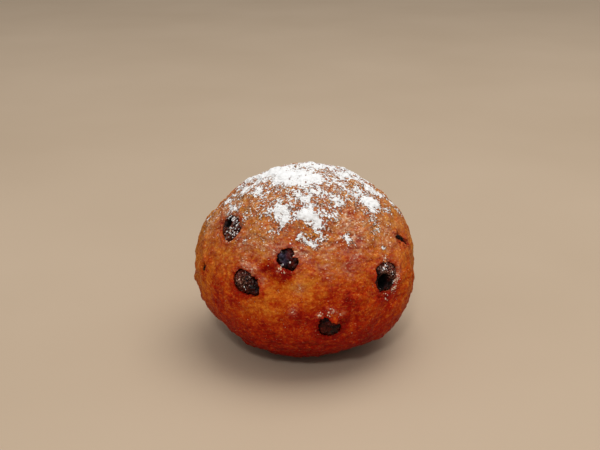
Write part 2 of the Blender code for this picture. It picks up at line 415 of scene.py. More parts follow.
# Where sugar clings to the raisins (on raisin_02 and atop raisin_04 as white grains standing for glints,
# painted highlights), where a brown bloom lies, where a blue painted reflection lies, and the hollows in
# them
RAISIN_SUGAR_AND_GLINTS = (
    Spot(-65, 36, 0.0020, 0.9),
    Spot(-58, 36, 0.0016, 0.75),
    Spot(-51, 34, 0.0018, 0.45),
    Spot(-50, 29, 0.0018, 0.35),
    Spot(-65, 27, 0.0012, 0.3),
    Spot(-56, 25, 0.0014, 0.25),
    # the next two, on raisin_04's top, put white sugar where glints show: painted highlights
    Spot(47, 13, 0.0012, 0.5),
    Spot(44, 11, 0.0008, 0.4),
    Spot(50, 2, 0.0008, 0.5),
    Spot(49, 7, 0.0007, 0.5),
    # these two, on raisin_02, put white sugar where glints show: painted highlights
    Spot(-8, 20, 0.0003, 1.6),
    Spot(-13, 18, 0.0005, 1.8),
    Spot(-30, 5, 0.0007, 0.25),
)
RAISIN_BLOOM = (
    Spot(-33, 8, 0.0026, 1.0),
    Spot(49, 10, 0.0030, 1.0),
    Spot(44, 11, 0.0020, 0.8),
    Spot(52, 4, 0.0016, 1.0),
    Spot(-53, 28, 0.0034, 0.8),
)
# painted reflection: a bluish sheen on raisin_02
RAISIN_SKY_REFLECTION = (
    Spot(-13, 23, 0.0014, 1.0),
    Spot(-11, 20, 0.0012, 0.7),
)
PITS = (
    Spot(-60, 32, 0.0022, 1.0),
    Spot(43, 4.5, 0.0031, 1.0),
)

# Where crumbs of the crust stick; the pale ones also stand where glints show, as painted highlights
CRUMBS_AND_GLINTS = (
    Spot(13, -4, 0.0008, 2.4),
    Spot(12, -6, 0.0006, 1.2),
    Spot(7, -6, 0.0008, 0.7),
    Spot(17, -7, 0.0008, 0.8),
    Spot(53, 2, 0.0012, 1.0),
    Spot(50, -2, 0.0009, 1.3),
    Spot(44, -4, 0.0007, 1.0),
    Spot(42, 11, 0.0008, 0.7),
    Spot(47, 15, 0.0008, 0.8),
    Spot(-13, 17, 0.0005, 1.2),
    Spot(-11, 15, 0.0004, 1.0),
    Spot(-6, 24, 0.0006, 1.0),
    Spot(-62, 24, 0.0014, 0.4),
    Spot(-50, 26, 0.0014, 0.4),
)


# ---------------------------------------------------------------- shapes

def direction(azimuth, elevation):
    """The unit vector from the middle of the ball to that side."""
    around = math.radians(azimuth)
    up = math.radians(elevation)
    flat = math.cos(up)
    return Vector((math.sin(around) * flat, -math.cos(around) * flat, math.sin(up)))


def bell(distance, radius):
    """A smooth hump, 1 in the middle and close to 0 past the radius."""
    return math.exp(-BELL_STEEPNESS * (distance / radius) ** 2)


def ramp(value, low, high):
    """0 below low, 1 above high, and smooth between them."""
    share = min(max((value - low) / (high - low), 0), 1)
    return share * share * (3 - 2 * share)


def aimed(spots):
    """The spots, each with its direction and the cosine that bounds its reach."""
    return [
        (spot, direction(spot.azimuth, spot.elevation), math.cos(spot.radius * SPOT_BOUND / BALL_RADIUS))
        for spot in spots
    ]


def spotted(place, spots, reach=SPOT_REACH):
    """The sum of the spots that reach this place on the crust."""
    outward = (place - BALL_MIDDLE).normalized()
    total = 0
    for spot, way, bound in spots:
        if outward.dot(way) > bound:
            total += spot.strength * bell(BALL_RADIUS * outward.angle(way), spot.radius * reach)
    return total


def push(place):
    """A smooth uneven push, from three plain noises read apart: noise_vector differs in each run."""
    return Vector([noise.noise(place + shift) for shift in PUSH_SHIFTS])


def torn(place):
    """The place moved a little, so that spots get an uneven, ragged outline."""
    return place + push(place / TEAR_SPAN) * TEAR_REACH + push(place / RAG_SPAN) * RAG_REACH


def node_shape(name):
    """A copy of a CAD node's mesh with its loose triangles merged."""
    shape = bmesh.new()
    shape.from_mesh(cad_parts[name].data)
    bmesh.ops.remove_doubles(shape, verts=shape.verts, dist=1e-6)
    return shape


def node_tree(name):
    shape = node_shape(name)
    tree = BVHTree.FromBMesh(shape)
    shape.free()
    return tree


def evened(shape, grain):
    """The same closed form with small faces of one size."""
    mesh = bpy.data.meshes.new("evened")
    shape.to_mesh(mesh)
    shape.free()
    carrier = bpy.data.objects.new("evened", mesh)
    bpy.context.scene.collection.objects.link(carrier)
    remesh = carrier.modifiers.new("evened", "REMESH")
    remesh.mode = "VOXEL"
    remesh.voxel_size = grain
    bpy.context.view_layer.update()
    graph = bpy.context.evaluated_depsgraph_get()
    fine = carrier.evaluated_get(graph).to_mesh()
    result = bmesh.new()
    result.from_mesh(fine)
    bpy.data.objects.remove(carrier, do_unlink=True)
    return result


def smooth(shape, rounds):
    for _ in range(rounds):
        bmesh.ops.smooth_vert(
            shape, verts=shape.verts, factor=0.5,
            use_axis_x=True, use_axis_y=True, use_axis_z=True,
        )


def roughen(shape, relief, inset):
    """Moves each point along its normal by the relief there."""
    shape.normal_update()
    moves = [vert.normal * (relief(vert.co) - inset) for vert in shape.verts]
    for vert, move in zip(shape.verts, moves):
        vert.co += move


def piece(name, shape, look, slot, *nodes):
    """A finished piece: smooth, in its material, riding on the part's body."""
    mesh = bpy.data.meshes.new(name)
    shape.to_mesh(mesh)
    shape.free()
    mesh.shade_smooth()
    mesh.materials.append(look)
    made = bpy.data.objects.new(name, mesh)
    bpy.context.scene.collection.objects.link(made)
    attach(made, "root")
    if nodes:
        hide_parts(*nodes)
    return made


# ---------------------------------------------------------------- crust

def crease(place):
    """0 on the skin and up to 1 in the bottom of a fold."""
    warp = push(place / CREASE_BEND_SPAN) * CREASE_BEND
    stretched = Vector((place.x, place.y, place.z * CREASE_FLATNESS)) / CREASE_SPAN + warp
    fold = 1 - min(abs(noise.noise(stretched)) * CREASE_SHARPNESS, 1)
    patch = ramp(noise.noise(place / CREASED_SPAN + CREASED_SHIFT), *CREASED_LEVELS)
    return fold * fold * patch


def pimple(place):
    """1 on top of a small pointed bump, and 0 between the bumps."""
    nearest = noise.voronoi(place / PIMPLE_SPAN)[0][0]
    return max(0, 1 - nearest * PIMPLE_SHARPNESS)


def wrinkle(place):
    """Ridges that run round the ball, about 1 high."""
    bent = noise.noise(place / WRINKLE_LENGTH) * WRINKLE_BEND
    row = noise.noise(Vector((
        place.x / WRINKLE_LENGTH, place.y / WRINKLE_LENGTH, place.z / WRINKLE_PITCH + bent,
    )))
    return 0.5 - min(abs(row) * WRINKLE_SHARPNESS, 1)


def crust_relief(wrinkled):
    """The relief of the skin: folds, dimples, knobs, pimples, grit and patches of wrinkles."""
    def relief(place):
        height = -CREASE_DEPTH * crease(place)
        height -= DIMPLE_DEPTH * ramp(noise.noise(place / DIMPLE_SPAN), *DIMPLE_LEVELS)
        height += KNOB_HEIGHT * noise.noise(place / KNOB_SPAN)
        height += PIMPLE_HEIGHT * pimple(place)
        height += GRIT_HEIGHT * noise.noise(place / GRIT_SPAN)
        share = spotted(place, wrinkled)
        if share > WRINKLE_LEAST:
            height += WRINKLE_HEIGHT * min(share, 1) * wrinkle(place)
        return height
    return relief


def crust_shape():
    shape = evened(node_shape("dough"), CRUST_GRAIN)
    smooth(shape, CRUST_SMOOTHING)
    roughen(shape, crust_relief(aimed(WRINKLED)), CRUST_INSET)
    for vert in shape.verts:
        vert.co.z = max(vert.co.z, 0)
    return shape


def all_raisins_tree():
    """All raisins in one search tree."""
    joined = bmesh.new()
    for name in RAISINS:
        joined.from_mesh(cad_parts[name].data)
    tree = BVHTree.FromBMesh(joined)
    joined.free()
    return tree


def waist_share(place):
    """1 in the middle of the band that runs over both sides, and 0 at the front and back."""
    outward = (place - BALL_MIDDLE).normalized()
    return math.exp(-(outward.y / WAIST_WIDTH) ** 2)


def height_share(place):
    """How high the place lies over the middle of the ball, against the radius."""
    return (place.z - BALL_MIDDLE.z) / BALL_RADIUS


def upper_share(place):
    """0 below the middle of the ball and 1 on its upper side."""
    return ramp(height_share(place), *UPPER_LEVELS)


def browned(place):
    """How far the crust is fried: gold at 0, red at 0.6 and dark red at 1.2, as CRUST_TONES says. The
    rise on the underside is browning with painted shade towards the floor.
    """
    outward = (place - BALL_MIDDLE).normalized()
    under = max(0, UNDER_TOP - outward.z)
    paleness = WAIST_PALENESS * waist_share(place) + UPPER_PALENESS * upper_share(place)
    # the underside terms: browning with painted shade towards the floor
    return TOAST_BASE + UNDERSIDE_TOAST_AND_SHADE * under + LOWEST_TOAST_AND_SHADE * under * under - paleness


def glaze_and_sheen_at(place):
    """How much pale film, thin glaze with painted sheen, lies everywhere at this height; more of it
    higher up.
    """
    height = height_share(place)
    side = HAZE_SIDE * ramp(height, *HAZE_SIDE_LEVELS)
    top = HAZE_TOP * ramp(height, *HAZE_TOP_LEVELS)
    return HAZE_LEAST + side + top


def paint_skin(shape, raisins):
    """Per point: how brown, dull and sugared, how much glaze and painted sheen, how deep in a fold (for
    painted shade), how near a raisin (for stain and painted shade).
    """
    toast = shape.verts.layers.float.new("toast")
    dull = shape.verts.layers.float.new("dull")
    dust = shape.verts.layers.float.new("dust")
    glaze_and_sheen = shape.verts.layers.float.new("glaze_and_sheen")
    fold = shape.verts.layers.float.new("fold")
    stain_and_shade = shape.verts.layers.float.new("stain_and_shade")
    browning = aimed(BROWNING)
    sheen_glaze_spots = aimed(SHEEN_AND_GLAZE_SPOTS)
    wrinkled = aimed(WRINKLED)
    for vert in shape.verts:
        place = vert.co
        ragged = torn(place)
        crinkle = spotted(place, wrinkled) * wrinkle(place)
        vert[toast] = browned(place) + BROWNING_GAIN * spotted(ragged, browning)
        vert[dull] = max(WAIST_DULLNESS * waist_share(place), UPPER_DULLNESS * upper_share(place))
        vert[dust] = sugar_amount(place)
        # painted sheen: the film, with painted highlights on the wrinkles' ridges
        vert[glaze_and_sheen] = max(glaze_and_sheen_at(place) + (spotted(ragged, sheen_glaze_spots) + max(crinkle, 0)), 0)
        # painted shade: darker in the bottom of folds and wrinkle valleys
        vert[fold] = crease(place) + WRINKLE_SHADE * max(-crinkle, 0)
        # stain and painted shade, stronger nearer a raisin
        gap = raisins.find_nearest(place, STAIN_AND_SHADE_REACH)[3]
        vert[stain_and_shade] = 1 - gap / STAIN_AND_SHADE_REACH if gap is not None else 0


# ---------------------------------------------------------------- raisins

def pit_share(place, pits):
    """1 in a hollow of a raisin, with a crisp edge."""
    return ramp(spotted(place, pits), *PIT_EDGE)


def raisin_relief(shift, pits):
    """The folds of one raisin's skin, and the hollow in it."""
    def relief(place):
        moved = place + shift
        fold = abs(noise.noise(moved / RAISIN_FOLD_SPAN))
        deep = RAISIN_FOLD_DEPTH * (1 - min(fold * RAISIN_FOLD_SHARPNESS, 1))
        grit = RAISIN_GRIT_HEIGHT * noise.noise(moved / RAISIN_GRIT_SPAN)
        return grit - deep - PIT_DEPTH * pit_share(place, pits)
    return relief


def raisin_shape(number, node, pits):
    shape = evened(node_shape(node), RAISIN_GRAIN)
    smooth(shape, RAISIN_SMOOTHING)
    roughen(shape, raisin_relief(Vector((RAISIN_SHIFT * number, 0, 0)), pits), 0)
    smooth(shape, 1)
    return shape


def paint_raisin(shape, pits):
    """Per point: how sugared (partly painted highlights), how much brown bloom and blue painted
    reflection, and how deep in a hollow.
    """
    dust = shape.verts.layers.float.new("dust")
    bloom = shape.verts.layers.float.new("bloom")
    sky_reflection = shape.verts.layers.float.new("sky_reflection")
    pit = shape.verts.layers.float.new("pit")
    sugar_glint_spots = aimed(RAISIN_SUGAR_AND_GLINTS)
    bloomed = aimed(RAISIN_BLOOM)
    sky_reflected = aimed(RAISIN_SKY_REFLECTION)
    for vert in shape.verts:
        vert[pit] = pit_share(vert.co, pits)
        # the sugar here includes painted highlights on raisin_02 and raisin_04
        vert[dust] = spotted(vert.co, sugar_glint_spots) * (1 - vert[pit])
        vert[bloom] = spotted(vert.co, bloomed) * (1 - vert[pit])
        vert[sky_reflection] = spotted(vert.co, sky_reflected)


# ---------------------------------------------------------------- lips

Seat = namedtuple("Seat", "middle outward along across half_length half_width")


def seat_of(name):
    """Where a raisin sits, the way it faces, and how it lies."""
    points = [vert.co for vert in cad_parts[name].data.vertices]
    middle = sum(points, Vector()) / len(points)
    outward = (middle - BALL_MIDDLE).normalized()
    east = Vector((0, 0, 1)).cross(outward).normalized()
    north = outward.cross(east)
    flat = [((point - middle).dot(east), (point - middle).dot(north)) for point in points]
    wide = sum(x * x for x, y in flat)
    tall = sum(y * y for x, y in flat)
    both = sum(x * y for x, y in flat)
    turn = math.atan2(2 * both, wide - tall) / 2
    along = east * math.cos(turn) + north * math.sin(turn)
    across = outward.cross(along)
    half_length = max(abs((point - middle).dot(along)) for point in points)
    half_width = max(abs((point - middle).dot(across)) for point in points)
    return Seat(middle, outward, along, across, half_length, half_width)


def height_over(tree, seat, place):
    """How high the surface lies over this place beside the raisin's middle."""
    start = place + seat.outward * PROBE_HEIGHT
    hit = tree.ray_cast(start, -seat.outward, PROBE_LENGTH)[0]
    if hit is None:
        return PROBE_HEIGHT - PROBE_LENGTH
    return (hit - seat.middle).dot(seat.outward)


def pocket_edge(seat, way, dough, raisin):
    """How far out along this way the pocket ends and the crust begins."""
    away = 0
    while away < seat.half_length * POCKET_LONGEST:
        place = seat.middle + way * away
        height = height_over(dough, seat, place)
        gap = raisin.find_nearest(place + seat.outward * height)[3]
        if gap > POCKET_END_GAP:
            break
        away += PROBE_STEP
    return away


def neighbours(values, index, reach):
    """The values from reach before this one to reach after it."""
    return values[max(index - reach, 0):index + reach + 1]


def skyline(seat, way, reach, surfaces):
    """Heights of the highest surface along a way, with the pocket's gap filled."""
    count = int(reach / PROBE_STEP) + FILL_REACH + 1
    raw = []
    for index in range(count):
        place = seat.middle + way * (index * PROBE_STEP)
        raw.append(max(height_over(tree, seat, place) for tree in surfaces))
    filled = [max(neighbours(raw, index, FILL_REACH)) for index in range(count)]
    groups = [neighbours(filled, index, LEVEL_REACH) for index in range(count)]
    return [sum(group) / len(group) for group in groups]


def level_at(heights, away):
    """The skyline's height between two of its samples."""
    exact = min(max(away / PROBE_STEP, 0), len(heights) - 1.001)     # just short of the last sample
    index = int(exact)
    return heights[index] + (heights[index + 1] - heights[index]) * (exact - index)


def lip_profile(share):
    """The lip's thickness from its buried outer edge to its round inner one."""
    body = (1 + LIP_BURIED) * ramp(share, 0, LIP_RISE) - LIP_BURIED
    curl = max((share - LIP_CURL_START) / LIP_CURL_WIDTH, 0)
    return body - LIP_CURL * curl ** 3


def lip_ring(shape, seat, dough, raisin, surfaces, laps):
    """One closed ring of skin that runs from the crust onto a raisin."""
    rings = [[] for _ in range(LIP_ROWS + 3)]
    for side in range(LIP_SIDES):
        angle = math.tau * side / LIP_SIDES
        way = seat.along * seat.half_length * math.cos(angle)
        way += seat.across * seat.half_width * math.sin(angle)
        way.normalize()
        edge = pocket_edge(seat, way, dough, raisin)
        spot = seat.middle + way * edge
        on_crust = spot + seat.outward * height_over(dough, seat, spot + way * POCKET_GAP)
        wave = LIP_EVEN + LIP_WAVE * noise.noise(spot / LIP_SPAN) + LIP_NICK * noise.noise(spot / LIP_RAG)
        width = LIP_WIDTH * (wave + spotted(on_crust, laps))
        inner = max(edge - max(width, LIP_LEAST), edge * LIP_INNERMOST)
        outer = edge + LIP_REACH * (1 + LIP_REACH_WAVE * noise.noise(spot / LIP_REACH_SPAN))
        heights = skyline(seat, way, outer, surfaces)
        thick = LIP_THICKNESS * (LIP_LEAN + LIP_LUMP * noise.noise(spot / LIP_LUMP_SPAN))
        for row in range(LIP_ROWS + 1):
            share = row / LIP_ROWS
            away = outer + (inner - outer) * share
            height = level_at(heights, away) + thick * lip_profile(share)
            point = seat.middle + way * away + seat.outward * height
            rings[row].append(shape.verts.new(point))
        for row, end in ((LIP_ROWS + 1, LIP_ROWS), (LIP_ROWS + 2, 0)):
            point = rings[end][-1].co - seat.outward * LIP_THICKNESS * LIP_ROOT
            rings[row].append(shape.verts.new(point))
    for ring, following in zip(rings, rings[1:] + rings[:1]):
        for side in range(LIP_SIDES):
            after = (side + 1) % LIP_SIDES
            shape.faces.new((ring[side], ring[after], following[after], following[side]))


def lips_shape(crust_tree, skin_trees):
    shape = bmesh.new()
    dough = node_tree("dough")
    laps = aimed(LAPS)
    for name in RAISINS:
        surfaces = (crust_tree, skin_trees[name])
        lip_ring(shape, seat_of(name), dough, node_tree(name), surfaces, laps)
    bmesh.ops.recalc_face_normals(shape, faces=shape.faces[:])
    return shape


# ---------------------------------------------------------------- sugar

def back_drifts():
    """Patches of sugar on the side away from the camera."""
    draw = random.Random(SEED)
    return [
        Spot(*[draw.uniform(*limits) for limits in BACK_RANGES])
        for _ in range(BACK_DRIFTS)
    ]


AIMED_DRIFTS = aimed(list(DRIFTS) + back_drifts())


def sugar_amount(place):
    """The share of the crust that powder covers, above 1 where it is thick."""
    outward = (place - BALL_MIDDLE).normalized()
    up = math.degrees(math.asin(outward.z))
    if up < SUGAR_LOWEST:
        return 0
    amount = SUGAR_LEAST
    for rise, low, high in SUGAR_RISES:
        amount += rise * ramp(up, low, high)
    cloud = noise.noise(place / CLOUD_SPAN) * CLOUD_GAIN + noise.noise(place / CLUMP_SPAN) * CLUMP_GAIN
    drift = spotted(torn(place), AIMED_DRIFTS, DRIFT_REACH)
    return max(amount + cloud * ramp(up, *SUGAR_CLOUDED) + DRIFT_GAIN * drift, 0)


def drift_height(place):
    """Above 0 where the sugar lies as a drift."""
    flake = noise.noise(place / FLAKE_SPAN) * FLAKE_GAIN + noise.noise(place / CHIP_SPAN) * FLAKE_GAIN
    return sugar_amount(place) - SUGAR_INSIDE + flake


def drift_shape(crust):
    """The thick powder: a shell that follows the crust."""
    shape = bmesh.new()
    shape.from_mesh(crust)
    low = [
        face for face in shape.faces
        if face.calc_center_median().z < BALL_MIDDLE.z
        or drift_height(face.calc_center_median()) < -DRIFT_MARGIN
    ]
    bmesh.ops.delete(shape, geom=low, context="FACES")
    bmesh.ops.subdivide_edges(shape, edges=shape.edges, cuts=1, use_grid_fill=True)
    bare = [vert for vert in shape.verts if drift_height(vert.co) < 0]
    bmesh.ops.delete(shape, geom=bare, context="VERTS")
    loose = [vert for vert in shape.verts if not vert.link_faces]
    bmesh.ops.delete(shape, geom=loose, context="VERTS")
    under = shape.faces[:]
    top = bmesh.ops.extrude_face_region(shape, geom=under, use_keep_orig=True)
    bmesh.ops.reverse_faces(shape, faces=under)
    raised = [part for part in top["geom"] if isinstance(part, bmesh.types.BMVert)]
    for vert in raised:
        out = (vert.co - BALL_MIDDLE).normalized()
        vert.co += out * (DRIFT_LEAST + DRIFT_DEPTH * ramp(drift_height(vert.co), 0, DRIFT_SLOPE))
    return shape


class Scatter:
    """Many small bits of one kind, gathered in one mesh."""

    def __init__(self, seed):
        self.shape = bmesh.new()
        self.draw = random.Random(seed)
        model = bmesh.new()
        bmesh.ops.create_icosphere(model, subdivisions=1, radius=1)
        self.points = [vert.co.copy() for vert in model.verts]
        self.faces = [[vert.index for vert in face.verts] for face in model.faces]
        model.free()

    def add(self, place, normal, sizes):
        """One more bit at this place, bent, stretched and turned by chance."""
        draw = self.draw
        size = draw.uniform(*sizes)
        stretch = [size * draw.uniform(*limits) for limits in (BIT_WIDTHS, BIT_WIDTHS, BIT_HEIGHTS)]
        spin = Matrix.Rotation(draw.uniform(0, math.tau), 3, "Z")
        turn = normal.to_track_quat("Z", "Y").to_matrix() @ spin
        made = []
        for point in self.points:
            bent = point * draw.uniform(*BIT_BENDS)
            corner = Vector((bent.x * stretch[0], bent.y * stretch[1], bent.z * stretch[2]))
            made.append(self.shape.verts.new(place + turn @ corner))
        for face in self.faces:
            self.shape.faces.new([made[index] for index in face])


def grains_shape(crust, skins, pits):
    """Single lumps of sugar, thickest round the drifts, and some on the raisins, partly placed where
    glints show, as painted highlights.
    """
    grains = Scatter(SEED)
    for face in crust.polygons:
        if face.center.z < BALL_MIDDLE.z or face.normal.z < OVERHANG:
            continue
        amount = min(sugar_amount(face.center), 1)
        if grains.draw.random() < GRAIN_CHANCE * amount * amount * (GRAIN_FADE - amount):
            grains.add(face.center, face.normal, GRAIN_SIZES)
    sugar_glint_spots = aimed(RAISIN_SUGAR_AND_GLINTS)
    for skin in skins:
        for face in skin.polygons:
            outward = (face.center - BALL_MIDDLE).normalized()
            outside = 1 - pit_share(face.center, pits)
            chance = RAISIN_GRAIN_CHANCE * spotted(face.center, sugar_glint_spots) * outside
            if face.normal.dot(outward) > FACING and grains.draw.random() < chance:
                grains.add(face.center, face.normal, CRUMB_SIZES)
    return grains.shape


def crumbs_shape(*surfaces):
    """Pale crumbs stuck round the raisins; the palest also stand for glints, as painted highlights."""
    crumbs = Scatter(SEED + 1)
    crumb_glint_spots = aimed(CRUMBS_AND_GLINTS)
    for surface in surfaces:
        for face in surface.polygons:
            outward = (face.center - BALL_MIDDLE).normalized()
            chance = CRUMB_CHANCE * spotted(face.center, crumb_glint_spots)
            if face.normal.dot(outward) > FACING and crumbs.draw.random() < chance:
                crumbs.add(face.center, face.normal, CRUMB_SIZES)
    return crumbs.shape


# ---------------------------------------------------------------- materials

def math_node(tree, operation, first, second, clamp=False):
    made = tree.nodes.new("ShaderNodeMath")
    made.operation = operation
    made.use_clamp = clamp
    for socket, value in zip(made.inputs, (first, second)):
        if isinstance(value, (int, float)):
            socket.default_value = value
        else:
            tree.links.new(value, socket)
    return made.outputs[0]


def times(tree, first, second, clamp=False):
    return math_node(tree, "MULTIPLY", first, second, clamp)


def mix_colour(tree, share, first, second, blend="MIX"):
    made = tree.nodes.new("ShaderNodeMix")
    made.data_type = "RGBA"
    made.blend_type = blend
    for socket, value in zip((made.inputs[0], made.inputs[6], made.inputs[7]), (share, first, second)):
        if isinstance(value, (int, float)):
            socket.default_value = value
        elif isinstance(value, tuple):
            socket.default_value = (*value, 1)
        else:
            tree.links.new(value, socket)
    return made.outputs[2]


def spread(tree, value, low, high, to_low=0.0, to_high=1.0):
    """The value's range low to high, stretched to another range."""
    made = tree.nodes.new("ShaderNodeMapRange")
    made.clamp = True
    tree.links.new(value, made.inputs["Value"])
    made.inputs["From Min"].default_value = low
    made.inputs["From Max"].default_value = high
    made.inputs["To Min"].default_value = to_low
    made.inputs["To Max"].default_value = to_high
    return made.outputs["Result"]


def total(tree, *values):
    result = values[0]
    for value in values[1:]:
        result = math_node(tree, "ADD", result, value)
    return result


def noise_value(tree, coords, scale, detail=3.0, rough=0.5, distort=0.0):
    made = tree.nodes.new("ShaderNodeTexNoise")
    tree.links.new(coords, made.inputs["Vector"])
    made.inputs["Scale"].default_value = scale
    made.inputs["Detail"].default_value = detail
    made.inputs["Roughness"].default_value = rough
    made.inputs["Distortion"].default_value = distort
    return made.outputs["Fac"]


def cell_distance(tree, coords, scale):
    made = tree.nodes.new("ShaderNodeTexVoronoi")
    tree.links.new(coords, made.inputs["Vector"])
    made.inputs["Scale"].default_value = scale
    return made.outputs["Distance"]


def object_coords(tree):
    return tree.nodes.new("ShaderNodeTexCoord").outputs["Object"]


def flattened(tree, coords, share):
    """Coordinates in which a pattern comes out lower than it is wide."""
    made = tree.nodes.new("ShaderNodeVectorMath")
    made.operation = "MULTIPLY"
    tree.links.new(coords, made.inputs[0])
    made.inputs[1].default_value = (1, 1, share)
    return made.outputs[0]


def attribute(tree, name):
    made = tree.nodes.new("ShaderNodeAttribute")
    made.attribute_name = name
    return made.outputs["Fac"]


def colour_ramp(tree, value, low, high, stops):
    """Colours laid out over the value's range low to high."""
    made = tree.nodes.new("ShaderNodeValToRGB")
    elements = made.color_ramp.elements
    while len(elements) < len(stops):
        elements.new(0.5)
    for element, (place, colour) in zip(elements, stops):
        element.position = (place - low) / (high - low)
        element.color = (*colour, 1)
    tree.links.new(spread(tree, value, low, high), made.inputs["Fac"])
    return made.outputs["Color"]


def new_group(name, inputs, outputs):
    """An effect shared by materials, with named float inputs and outputs."""
    tree = bpy.data.node_groups.new(name, "ShaderNodeTree")
    for key, value in inputs.items():
        socket = tree.interface.new_socket(key, in_out="INPUT", socket_type="NodeSocketFloat")
        socket.default_value = value
    for key in outputs:
        tree.interface.new_socket(key, in_out="OUTPUT", socket_type="NodeSocketFloat")
    start = tree.nodes.new("NodeGroupInput")
    end = tree.nodes.new("NodeGroupOutput")
    return tree, start.outputs, end.inputs


def use_group(tree, group, **values):
    made = tree.nodes.new("ShaderNodeGroup")
    made.node_tree = group
    for key, value in values.items():
        socket = made.inputs[key.replace("_", " ")]
        if isinstance(value, (int, float)):
            socket.default_value = value
        else:
            tree.links.new(value, socket)
    return made.outputs


def powder_group():
    """A mask of fine powder that covers the given share of a surface, and the shade beside it."""
    tree, given, out = new_group("powder", {"Amount": 0.5}, ["Mask", "Shade"])
    coords = object_coords(tree)
    fine = noise_value(tree, coords, 1250, 2.0, 0.65)
    coarse = noise_value(tree, coords, 520, 2.0, 0.6)
    both = total(tree, times(tree, fine, 0.75), times(tree, coarse, 0.25))
    level = spread(tree, given["Amount"], 0, 1.2, 0.68, 0.40)
    above = math_node(tree, "SUBTRACT", both, level)
    mask = times(tree, above, 32.0, clamp=True)
    tree.links.new(mask, out["Mask"])
    tree.links.new(spread(tree, above, -0.07, -0.01), out["Shade"])
    return tree


def skin_group():
    """The height of a wrinkled, pitted skin."""
    tree, given, out = new_group("skin", {"Scale": 1.0}, ["Height"])
    coords = object_coords(tree)
    scaled = tree.nodes.new("ShaderNodeVectorMath")
    scaled.operation = "SCALE"
    tree.links.new(coords, scaled.inputs[0])
    tree.links.new(given["Scale"], scaled.inputs["Scale"])
    place = scaled.outputs[0]
    pits = cell_distance(tree, place, 1100)
    grit = noise_value(tree, place, 1900, 3.0, 0.6)
    folds = noise_value(tree, place, 420, 5.0, 0.6, 0.4)
    height = total(
        tree,
        times(tree, pits, 0.5),
        times(tree, grit, 0.8),
        times(tree, folds, 1.3),
    )
    tree.links.new(height, out["Height"])
    return tree


def new_material(name):
    made = bpy.data.materials.new(name)
    made.use_nodes = True
    tree = made.node_tree
    return made, tree, tree.nodes["Principled BSDF"]


def bump(tree, shader, height, distance, strength=1.0):
    made = tree.nodes.new("ShaderNodeBump")
    made.inputs["Distance"].default_value = distance
    made.inputs["Strength"].default_value = strength
    tree.links.new(height, made.inputs["Height"])
    tree.links.new(made.outputs["Normal"], shader.inputs["Normal"])
    tree.links.new(made.outputs["Normal"], shader.inputs["Coat Normal"])


CRUST_TONES = (
    (-0.40, (0.86, 0.36, 0.055)),
    (-0.10, (0.74, 0.21, 0.018)),
    (0.15, (0.61, 0.118, 0.007)),
    (0.40, (0.51, 0.058, 0.003)),
    (0.65, (0.42, 0.020, 0.002)),
    (0.90, (0.30, 0.006, 0.002)),
    (1.20, (0.22, 0.004, 0.002)),
)
DULLING = (0.60, 0.92, 1.0)
SUGAR_ON_CRUST = (0.92, 0.91, 0.90)
# pale film colour: thin glaze with painted sheen
SHEEN_AND_GLAZE_TONE = (0.82, 0.60, 0.40)
# the next two are painted glint colours; the first also tints thin sugar
GLINT_AND_THIN_SUGAR = (1.0, 0.80, 0.58)
CRUST_GLINT = (0.98, 0.52, 0.26)
FRESH_GOLD = (0.86, 0.32, 0.050)
# painted shade beside and between the sugar grains
SHADE_BESIDE_SUGAR = (0.09, 0.030, 0.012)
RAISIN_BLACK = (0.005, 0.001, 0.001)
RAISIN_RED = (0.095, 0.007, 0.003)
# painted shade in the raisins' hollows
HOLLOW_SHADE = (0.0012, 0.001, 0.001)
# painted reflection colour
BLUE_REFLECTION = (0.050, 0.058, 0.105)
BROWN_BLOOM = (0.32, 0.115, 0.068)
# painted glint colour on the raisins
BLOOM_GLINT = (0.72, 0.52, 0.42)
SUGAR_ON_RAISIN = (0.86, 0.76, 0.70)
SUGAR_TONES = ((0.86, 0.86, 0.86), (0.96, 0.96, 0.965))
# crumb tones up to near white, for the painted glints
CRUMB_AND_GLINT_TONES = ((0.62, 0.30, 0.13), (0.95, 0.82, 0.68))
FLOOR_TONES = ((0.49, 0.375, 0.265), (0.53, 0.41, 0.295))


